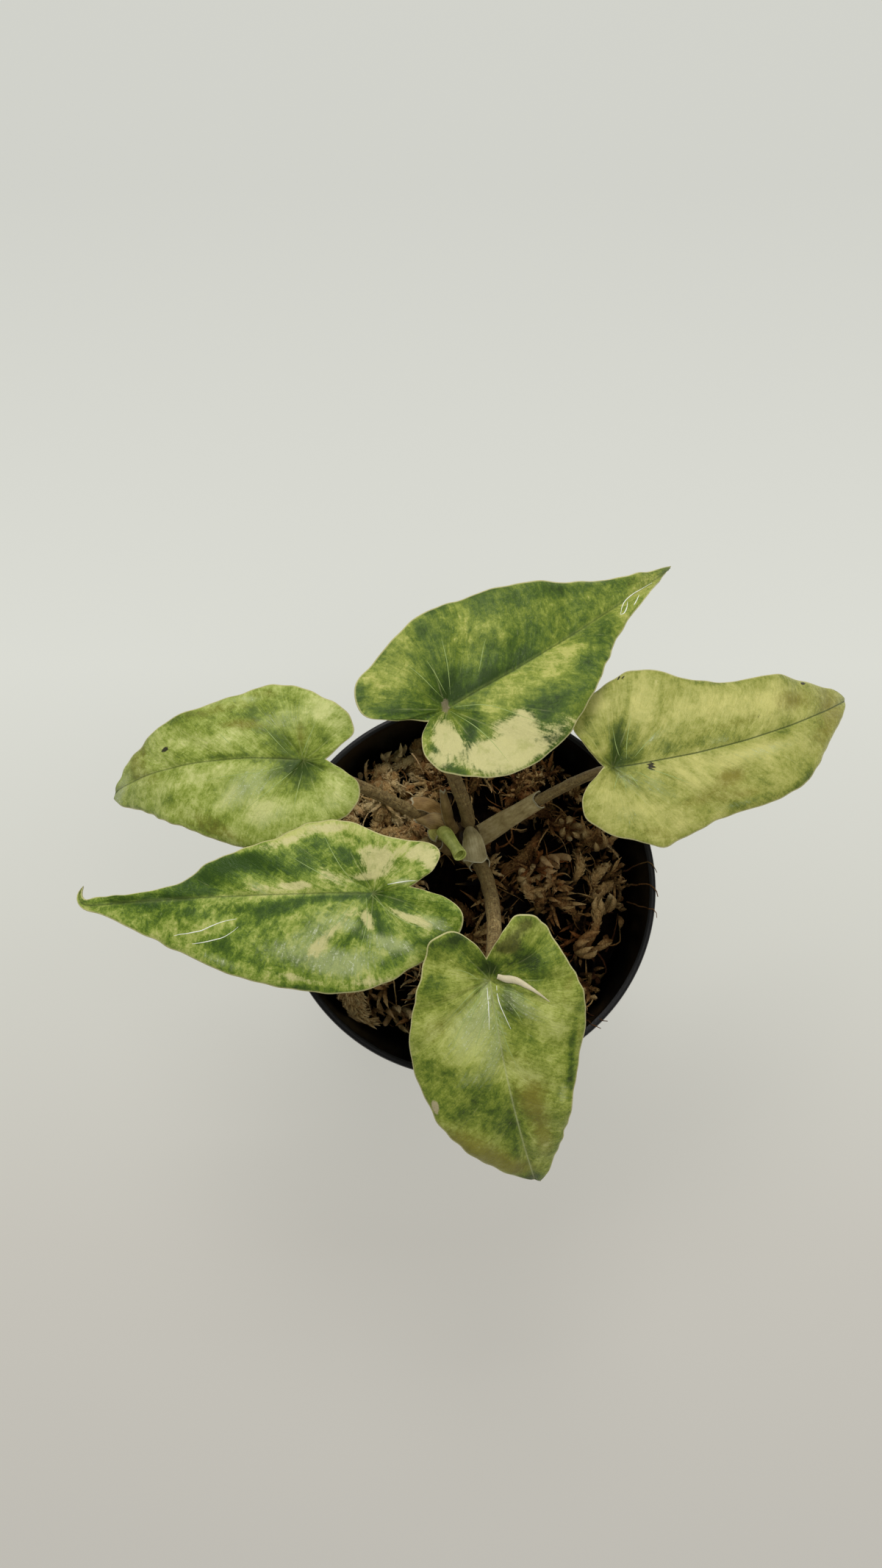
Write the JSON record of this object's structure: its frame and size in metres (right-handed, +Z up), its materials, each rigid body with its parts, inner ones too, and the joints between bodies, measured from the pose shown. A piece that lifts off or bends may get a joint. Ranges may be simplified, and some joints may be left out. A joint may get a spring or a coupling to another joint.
{
  "type": "potted alocasia plant",
  "caption": "Young aroid house plant with broad pointed variegated leaves on slender stalks, growing from moss in a small tapered round nursery pot.",
  "frame": {"origin": "middle of the pot's underside, on the surface it stands on", "axes": "+Z up along the pot's axis, +Y away from the viewer of the picture, +X to the viewer's right"},
  "size_m": [0.1785, 0.1428, 0.1275],
  "materials": {
    "pot_plastic": "black moulded plastic, slightly glossy",
    "moss": "dried sphagnum moss, fibrous",
    "sheath": "papery leaf sheaths round a short fleshy stem",
    "new_leaf": "soft rolled leaf, satin",
    "stalk": "fleshy stalk mottled with brown bars, satin",
    "leaf": "thick leaf, green marbled with cream, satin to glossy"
  },
  "bodies": {
    "root": {"nursery_pot": "pot_plastic", "sphagnum_moss": "moss", "crown": "sheath", "new_leaf": "new_leaf", "petiole_back": "stalk", "petiole_right": "stalk", "petiole_left": "stalk", "petiole_near_left": "stalk", "petiole_front": "stalk", "blade_back": "leaf", "blade_right": "leaf", "blade_left": "leaf", "blade_near_left": "leaf", "blade_front": "leaf"}
  },
  "joints": []
}
